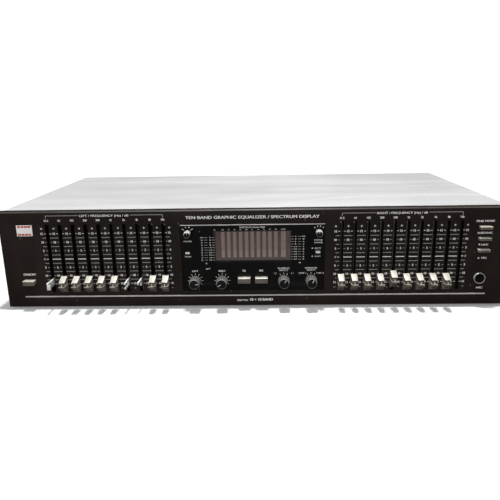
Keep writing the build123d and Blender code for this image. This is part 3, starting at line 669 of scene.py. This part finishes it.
def display_segments():
    """Columns of the unlit display, one for each band and a wider one for the level, and its border."""
    upper, lower = front_print(FILTER_REACH), front_print(FILTER_REACH)
    for column, x in enumerate(DISPLAY_COLUMNS):
        width = 4.1 if column == len(DISPLAY_COLUMNS) - 1 else 2.9
        for row in range(11):
            (lower if row < 3 else upper).strip(x, 46.1 + SEGMENT_STEP * row, width, 1.9)
    upper.piece("display_segments", SEGMENT, slot="smoked_filter")
    lower.piece("display_segments_low", SEGMENT_LOW, slot="smoked_filter")
    border = front_print(FILTER_REACH)
    border.strip(-32.6, 55.3, 1.8, 27.4)
    border.strip(33.05, 55.3, 0.9, 27.4)
    border.strip(0.45, 42.1, 64.3, 1.0)
    border.strip(0.45, 68.55, 64.3, 0.9)
    border.piece("display_border", BLACK_INK, slot="gloss_black")


def badge_bands():
    """Striped plate: a red band of three bars above and below a plain field."""
    badge_low, badge_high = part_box("badge_plate")
    middle = (badge_low + badge_high) / 2
    marks = Print(Vector((middle.x, badge_low.y, middle.z)), RIGHT, FORWARD)
    for z in (-3.5, 3.5):
        for x in (-4.5, -1.5, 1.5, 4.5):
            marks.strip(x, z, 2.5, 1.6)
    marks.piece("badge_bands", RED_INK)


fascia_lettering()
window_lettering()
display_segments()
badge_bands()


# --- Slider caps and levers -----------------------------------------------------------------------------
def extruded(bm, outline_yz, x, width):
    """Closed bar of a (y, z) outline in metres, centred on x."""
    rows = [[bm.verts.new((x + end * width / 2, y, z)) for y, z in outline_yz] for end in (-1, 1)]
    bm.faces.new(rows[0])
    bm.faces.new(list(reversed(rows[1])))
    for i in range(len(outline_yz)):
        j = (i + 1) % len(outline_yz)
        bm.faces.new((rows[0][j], rows[0][i], rows[1][i], rows[1][j]))


def cap_ribs(node):
    """Small upright pointer rib above a cap's ridge, and the ridge's line carried back along both sides."""
    low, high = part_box(node)
    x, z, tip = (low.x + high.x) / 2, (low.z + high.z) / 2, low.y
    pointer = [(4.9, 0.35), (2.4, 0.45), (3.0, 1.4), (4.1, 2.2), (4.9, 1.9)]
    bm = bmesh.new()
    extruded(bm, [(tip + back * MM, z + up * MM) for back, up in pointer], x, 0.6 * MM)
    side = [(2.6, -0.2), (2.6, 0.2), (11.0, 0.2), (11.0, -0.2)]
    for end in (-1, 1):
        extruded(bm, [(tip + back * MM, z + up * MM) for back, up in side], x + end * 2.35 * MM, 0.75 * MM)
    bmesh.ops.recalc_face_normals(bm, faces=bm.faces)
    ribs = from_bmesh(bm, node + "_ribs", [CAP], 35)
    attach(ribs, body_of(node))


# TOP is the lit silver; SCOOP and SIDE are painted-shade copies of it.
CAP_LOOKS = [CAP, LEVER, CAP_SCOOP_SHADE, CAP_SIDE_SHADE]
TOP, BARE, SCOOP, SIDE = range(len(CAP_LOOKS))
TALL = 12 * MM  # caps are taller than this, levers lower


def cap_facing(node):
    """Silver on a cap's sloping top, where the overhead light falls. Painted shade: dark grey in the scoops,
    mid grey at the sides, underneath and on the upward faces near the tip.
    """
    low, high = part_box(node)
    brow, ridge = (low.z + high.z) / 2 + 3.0 * MM, low.y + 2.3 * MM

    def facing(face):
        if face.material_index == BARE:
            return BARE
        middle = face.calc_center_median()
        if face.normal.z > 0.45 and middle.z > brow:
            return TOP
        if abs(face.normal.x) > 0.75 or face.normal.z < -0.7 or (middle.y < ridge and face.normal.z > 0.3):
            return SIDE
        return SCOOP

    return facing


def slider_pick(low, high):
    """Cap or lever, told by the height of the solid."""
    return TOP if high.z - low.z > TALL else BARE


for node in sorted(frame["nodes"]):
    if not node.startswith("slider_") or node.startswith("slider_board"):
        continue
    low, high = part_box(node)
    if high.z - low.z > TALL:
        softened(node, 0.2, CAP_LOOKS, pick=slider_pick, facing=cap_facing(node))
        cap_ribs(node)
    else:
        softened(node, 0.12, [CAP, LEVER], pick=slider_pick)


def slot_lining(name, look, bars):
    """Upright bars behind every slot. A bar is its shift from the slot, width, depths and half height."""
    bm = bmesh.new()
    for x in bank_slots("left") + bank_slots("right"):
        for shift, width, near, far, half in bars:
            low, high = at(0, SCALE_ZERO - half, -near), at(0, SCALE_ZERO + half, -far)
            outline_yz = [(low.y, low.z), (high.y, low.z), (high.y, high.z), (low.y, high.z)]
            extruded(bm, outline_yz, (x + shift) * MM, width * MM)
    bmesh.ops.recalc_face_normals(bm, faces=bm.faces)
    lining = from_bmesh(bm, name, [look])
    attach(lining, "case")


# Painted shade: black strips behind every slot stand in for the shade inside it and leave a slit for each
# lever. The carbon tracks lie at the back of the potentiometers.
slot_lining("slot_shade_strips", SLOT_SHADE, [(-1.72, 2.0, 5.1, 5.5, 31.5), (1.72, 2.0, 5.1, 5.5, 31.5)])
slot_lining("carbon_tracks", BLACK_PLASTIC, [(0.0, 6.6, 15.4, 16.0, 32.0)])


# --- Buttons and selector ---------------------------------------------------------------------------------
# Lit silver, then painted-shade copies for the front and for the ends and underside.
BUTTON_LOOKS = [CAP, BUTTON_FRONT_SHADE, CAP_SIDE_SHADE]


def button_facing(face):
    """Painted light and shade: bright along the top, where the overhead light falls, painted shade that is
    dull in front and in between underneath and at the ends.
    """
    if face.normal.z > 0.3:
        return 0
    if abs(face.normal.x) > 0.6 or face.normal.z < -0.3:
        return 2
    return 1


for node in (
    "power_button", "equalizer_button", "record_button",
    "pink_noise_button", "subsonic_button", "line_mic_button",
):
    softened(node, 0.15, BUTTON_LOOKS, facing=button_facing)
# These stay white on top and in front, with painted shade in mid grey underneath and at the ends.
for node in ("display_button", "range_selector"):
    softened(node, 0.1, [LEVER, LEVER, CAP_SIDE_SHADE], facing=button_facing)


def plate_facing(face):
    """Painted highlight: the plate's upper chamfers, which catch the overhead light, take the lighter copy.
    """
    return 1 if face.normal.z > 0.4 and face.normal.y < -0.3 else 0


softened("window_plate", 0.08, [GLOSS, GLOSS_HIGHLIGHT], facing=plate_facing)
softened("fascia", 0.12, [PAINT, PAINT_HIGHLIGHT], facing=plate_facing)


# --- Rotary knobs -----------------------------------------------------------------------------------------
def lathe(bm, axis, rings, count, flute=None, fluted=(), material_index=0):
    """Rings of (radius, reach) about an axis through the fascia, in mm, closed at both ends.

    flute(angle) scales the radius of the rings whose numbers are in fluted."""
    rows = []
    for number, (radius, reach) in enumerate(rings):
        row = []
        for i in range(count):
            a = 2 * math.pi * i / count
            r = radius * (flute(a) if number in fluted else 1.0)
            row.append(bm.verts.new(at(axis[0] + r * math.cos(a), axis[1] + r * math.sin(a), reach)))
        rows.append(row)
    faces = [bm.faces.new(rows[0]), bm.faces.new(list(reversed(rows[-1])))]
    for lower, upper in zip(rows, rows[1:]):
        for i in range(count):
            j = (i + 1) % count
            faces.append(bm.faces.new((lower[j], lower[i], upper[i], upper[j])))
    for face in faces:
        face.material_index = material_index
    return faces


def bar(bm, axis, turn, inner, outer, width, back, front, material_index):
    """Raised pointer from one radius to another; turn is clockwise from straight up."""
    a = math.radians(turn)
    along, across = Vector((math.sin(a), math.cos(a))), Vector((math.cos(a), -math.sin(a)))
    corners = []
    for reach in (back, front):
        for radius, side in ((inner, -1), (inner, 1), (outer, 1), (outer, -1)):
            flat = Vector(axis) + along * radius + across * side * width / 2
            corners.append(bm.verts.new(at(flat.x, flat.y, reach)))
    for face in ((0, 1, 2, 3), (7, 6, 5, 4), (0, 4, 5, 1), (1, 5, 6, 2), (2, 6, 7, 3), (3, 7, 4, 0)):
        bm.faces.new([corners[i] for i in face]).material_index = material_index


# LEVER serves the small knobs as a painted highlight.
KNOB_LOOKS = [KNOB, KNOB_FACE, WHITE_INK, ZINC, KNOB_SHADE, LEVER]
SMALL_KNOB = 8 * MM  # only the two small knobs are narrower than this


def knob_piece(node, turn):
    """Fluted plated knob with a dark dished face, a pointer line and its shaft; painted shade in the grooves
    between the flutes and over the lower half, and on the small knobs a painted highlight over the upper
    part.
    """
    low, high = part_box(node)
    axis = axis_of(node)
    small = high.x - low.x < SMALL_KNOB
    reach = (FRONT - low.y) / MM
    back = WINDOW_REACH + (0.5 if small else 1.0)
    base_r = (high.x - low.x) / 2 / MM
    rim_r = base_r * (0.95 if small else 0.87)
    face_r = rim_r - 0.6
    flutes = 14 if small else 18
    depth = 0.05 if small else 0.11

    def flute(angle):
        return 1.0 - depth * (0.5 - 0.5 * math.cos(flutes * angle))

    bm = bmesh.new()
    flute_end = reach - 1.2
    skirt = [(base_r * 0.97, back), (base_r, back + 0.4), (rim_r * 1.01, flute_end)]
    crown = [
        (rim_r, reach - 0.8), (rim_r - 0.08, reach - 0.15), (face_r + 0.25, reach),
        (face_r, reach - 0.12), (face_r - 0.05, reach - 0.5),
    ]
    for face in lathe(bm, axis, skirt + crown, flutes * 8, flute, range(len(skirt))):
        middle = face.calc_center_median()
        gap = math.hypot(middle.x / MM - axis[0], (middle.z - BASE) / MM - axis[1])
        # 0 where the flutes end in front and 1 at the back of the skirt
        share = (flute_end - (FRONT - middle.y) / MM) / (flute_end - back)
        shaded_groove = share > 0.02 and gap < (rim_r + (base_r - rim_r) * share) * (1.0 - depth * 0.45)
        height = (middle.z - low.z) / (high.z - low.z)
        # Painted shade in the grooves and over the lower half; painted highlight over the upper part of the
        # small knobs.
        if len(face.verts) == 4 and (shaded_groove or height < 0.5):
            face.material_index = KNOB_LOOKS.index(KNOB_SHADE)
        elif small and height > 0.72:
            face.material_index = KNOB_LOOKS.index(LEVER)
    dish = [
        (face_r - 0.02, reach - 0.8), (face_r - 0.02, reach - 0.42), (face_r - 0.3, reach - 0.3),
        (face_r * 0.5, reach - 0.36),
    ]
    lathe(bm, axis, dish, 48, material_index=KNOB_LOOKS.index(KNOB_FACE))
    white = KNOB_LOOKS.index(WHITE_INK)
    bar(bm, axis, turn, face_r * 0.25, face_r - 0.2, 0.42, reach - 0.6, reach - 0.16, white)
    shaft_r = 1.5 if small else 3.0
    tail = (FRONT - high.y) / MM
    shaft = [(shaft_r * 0.97, tail), (shaft_r, tail + 0.3), (shaft_r, back + 0.2)]
    lathe(bm, axis, shaft, 32, material_index=KNOB_LOOKS.index(ZINC))
    bmesh.ops.recalc_face_normals(bm, faces=bm.faces)
    stand_for(from_bmesh(bm, "turned_" + node, KNOB_LOOKS, 28), node)


POINTERS = {
    "attenuator_knob_left": 90, "attenuator_knob_right": -120, "dubbing_knob": 30, "monitor_knob": 30,
    "meter_knob": 0, "meter_range_knob": 0,
}
for node, turn in POINTERS.items():
    knob_piece(node, turn)


# --- Sockets, transformer ---------------------------------------------------------------------------------
def phono_pick(low, high):
    """Moulded block with its insulators, or metal barrel."""
    return 0 if high.x - low.x > 20 * MM else 1


softened("phono_jacks", 0.15, [BLACK_PLASTIC, CHROME], pick=phono_pick, angle=40.0)


def mic_jack_piece():
    """Jack with a rounded ring, a shallow cone into its bore and a square housing behind the chassis."""
    low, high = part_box("mic_jack")
    axis = axis_of("mic_jack")
    middle_z = high.z - (high.z - low.z) / 2
    end = (FRONT - high.y) / MM
    half = (high.x - low.x) / 2 / MM
    plate = end + 23.0

    def square(angle):
        return 1.0 / max(abs(math.cos(angle)), abs(math.sin(angle)))

    bore = [(3.3, end + 2.0), (3.3, -1.2), (3.4, -0.9)]
    ring = [(4.2, 1.6), (4.35, 1.8), (4.62, 1.85), (4.85, 1.6), (4.9, 1.2), (4.9, 0.02)]
    neck = [(4.1, 0.02), (4.1, plate)]
    housing = [(half, plate), (half, end)]
    rings = bore + ring + neck + housing
    squared = range(len(rings) - len(housing), len(rings))
    bm = bmesh.new()
    for face in lathe(bm, axis, rings, 64, square, squared):
        middle = face.calc_center_median()
        gap = math.hypot(middle.x / MM - axis[0], (middle.z - BASE) / MM - axis[1])
        reach = (FRONT - middle.y) / MM
        # painted shade: the bore and the upper half of its cone, out of the overhead light, are dark, and
        # what lies behind the fascia is plastic
        if gap < 3.85 or (gap < 4.25 and middle.z > middle_z):
            face.material_index = 1
        elif reach < -0.5 and gap > 3.9:
            face.material_index = 2
    bmesh.ops.recalc_face_normals(bm, faces=bm.faces)
    stand_for(from_bmesh(bm, "turned_mic_jack", [RING, BORE_SHADE, BLACK_PLASTIC], 40), "mic_jack")


mic_jack_piece()


def transformer_pick(low, high):
    """Iron core and its clamps, or winding."""
    return 0 if high.x - low.x > 60 * MM else 1


softened("power_transformer", 0.4, [IRON, WINDING], pick=transformer_pick)


REAR_GROUPS = (("TAPE", ("REC", "PLAY")), ("LINE OUT", ("1", "2")), ("LINE IN", ("1", "2")))
GROUP_HALF = 19.0


def rear_lettering():
    """Plain words beside the rear sockets."""
    marks = Print(Vector((0, rear_high.y, BASE)), Vector((-1, 0, 0)), Vector((0, 1, 0)))
    phono_low, phono_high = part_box("phono_jacks")
    span = (phono_high.x - phono_low.x) / MM - 2 * GROUP_HALF
    for i, (title, columns) in enumerate(REAR_GROUPS):
        x = -phono_high.x / MM + GROUP_HALF + i * span / 2
        marks.words(title, x, 64.5, 2.6, bold=0.2)
        for word, shift in zip(columns, (-9, 9)):
            marks.words(word, x + shift, 61.0, 1.8, bold=0.12)
        marks.words("L", x - 21.2, 50.0, 2.2, bold=0.15)
        marks.words("R", x - 21.2, 34.0, 2.2, bold=0.15)
    gland_low, gland_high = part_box("cord_gland")
    marks.words("AC IN", -(gland_low.x + gland_high.x) / 2 / MM, 39.0, 2.4, bold=0.2)
    marks.piece("rear_lettering", WHITE_INK)


rear_lettering()


# --- Studio -------------------------------------------------------------------------------------------------
def sweep_material(name, bounce):
    """White paper, lit up away from the object; bounce is the tone that the object's own reflections see."""
    look = Look(name, roughness=0.9, specular=0.1)
    look.color(look.ramp(look.noise(3.0, 2.0), [(0.3, (0.80, 0.80, 0.80)), (0.7, (0.83, 0.83, 0.83))]))
    away = look.nodes.new("ShaderNodeVectorMath")
    away.operation = "LENGTH"
    look.links.new(look.coords, away.inputs[0])
    glow = look.nodes.new("ShaderNodeMapRange")
    glow.inputs["From Min"].default_value = 0.3
    glow.inputs["From Max"].default_value = 1.3
    glow.inputs["To Min"].default_value = 0.14
    glow.inputs["To Max"].default_value = 0.95
    look.links.new(away.outputs["Value"], glow.inputs["Value"])
    look.shader.inputs["Emission Color"].default_value = (1, 1, 1, 1)
    look.links.new(glow.outputs["Result"], look.shader.inputs["Emission Strength"])
    dim = look.nodes.new("ShaderNodeBsdfDiffuse")
    dim.inputs["Color"].default_value = (bounce, bounce, bounce, 1)
    path = look.nodes.new("ShaderNodeLightPath")
    join = look.nodes.new("ShaderNodeMixShader")
    look.links.new(path.outputs["Is Camera Ray"], join.inputs[0])
    look.links.new(dim.outputs[0], join.inputs[1])
    look.links.new(look.shader.outputs[0], join.inputs[2])
    look.links.new(join.outputs[0], look.nodes["Material Output"].inputs["Surface"])
    return look.material


def studio():
    """White floor that sweeps up behind, a small overhead key, a soft overhead and a low front fill."""
    reach, rise, back, bend = 7.0, 5.0, 2.2, 1.2
    profile = [(-reach, 0.0), (FRONT, 0.0), (back, 0.0)]
    for degrees in range(10, 91, 10):
        a = math.radians(degrees)
        profile.append((back + bend * math.sin(a), bend - bend * math.cos(a)))
    profile.append((back + bend, rise))
    points = [(x, y, z) for x in (-reach, reach) for y, z in profile]
    count = len(profile)
    faces = [(i, i + 1, count + i + 1, count + i) for i in range(count - 1)]
    mesh = bpy.data.meshes.new("studio_sweep")
    mesh.from_pydata(points, [], faces)
    mesh.polygons.foreach_set("use_smooth", [True] * len(mesh.polygons))
    papers = [sweep_material("paper_behind", 0.4), sweep_material("paper_in_front", 0.14)]
    sweep = add_object("studio_sweep", mesh, papers)
    mesh.polygons[0].material_index = 1

    world = bpy.data.worlds.new("studio")
    world.use_nodes = True
    world.node_tree.nodes["Background"].inputs["Color"].default_value = (1, 1, 1, 1)
    world.node_tree.nodes["Background"].inputs["Strength"].default_value = 0.12
    bpy.context.scene.world = world

    for name, place, aim, size, power in (
        ("key", (0.0, -0.14, 1.5), (0, -0.14, 0), 0.1, 23.0),
        ("overhead_soft", (0.0, -1.5, 2.9), (0, -0.4, 0), 4.5, 26.0),
        ("front_fill", (-0.3, -2.5, 0.75), (0, -0.115, 0.04), 1.0, 26.0),
    ):
        light = bpy.data.lights.new(name, "AREA")
        light.shape = "SQUARE"
        light.size = size
        light.energy = power
        lamp = bpy.data.objects.new(name, light)
        lamp.location = place
        lamp.rotation_euler = (Vector(aim) - Vector(place)).to_track_quat("-Z", "Y").to_euler()
        bpy.context.scene.collection.objects.link(lamp)


def camera():
    """Camera at the height, distance and slight turn of a hand-held front view."""
    yaw, pitch, roll = math.radians(1.701), math.radians(-15.286), math.radians(-1.009)
    turn = Matrix.Rotation(yaw, 3, "Z") @ Matrix.Rotation(pitch, 3, "X")
    right, ahead, up = turn.col[0].copy(), turn.col[1].copy(), turn.col[2].copy()
    c, s = math.cos(roll), math.sin(roll)
    right, up = c * right + s * up, c * up - s * right
    pose = Matrix.Identity(4)
    for row in range(3):
        pose[row][0], pose[row][1], pose[row][2] = right[row], up[row], -ahead[row]
    data = bpy.data.cameras.new("camera")
    data.sensor_width = 36.0
    data.lens = 37.87
    data.clip_start = 0.01
    view = bpy.data.objects.new("camera", data)
    pose.translation = at(10.82, 171.18, 438.43)
    view.matrix_world = pose
    bpy.context.scene.collection.objects.link(view)
    bpy.context.scene.camera = view


studio()
camera()
bpy.context.scene.view_settings.view_transform = "Standard"
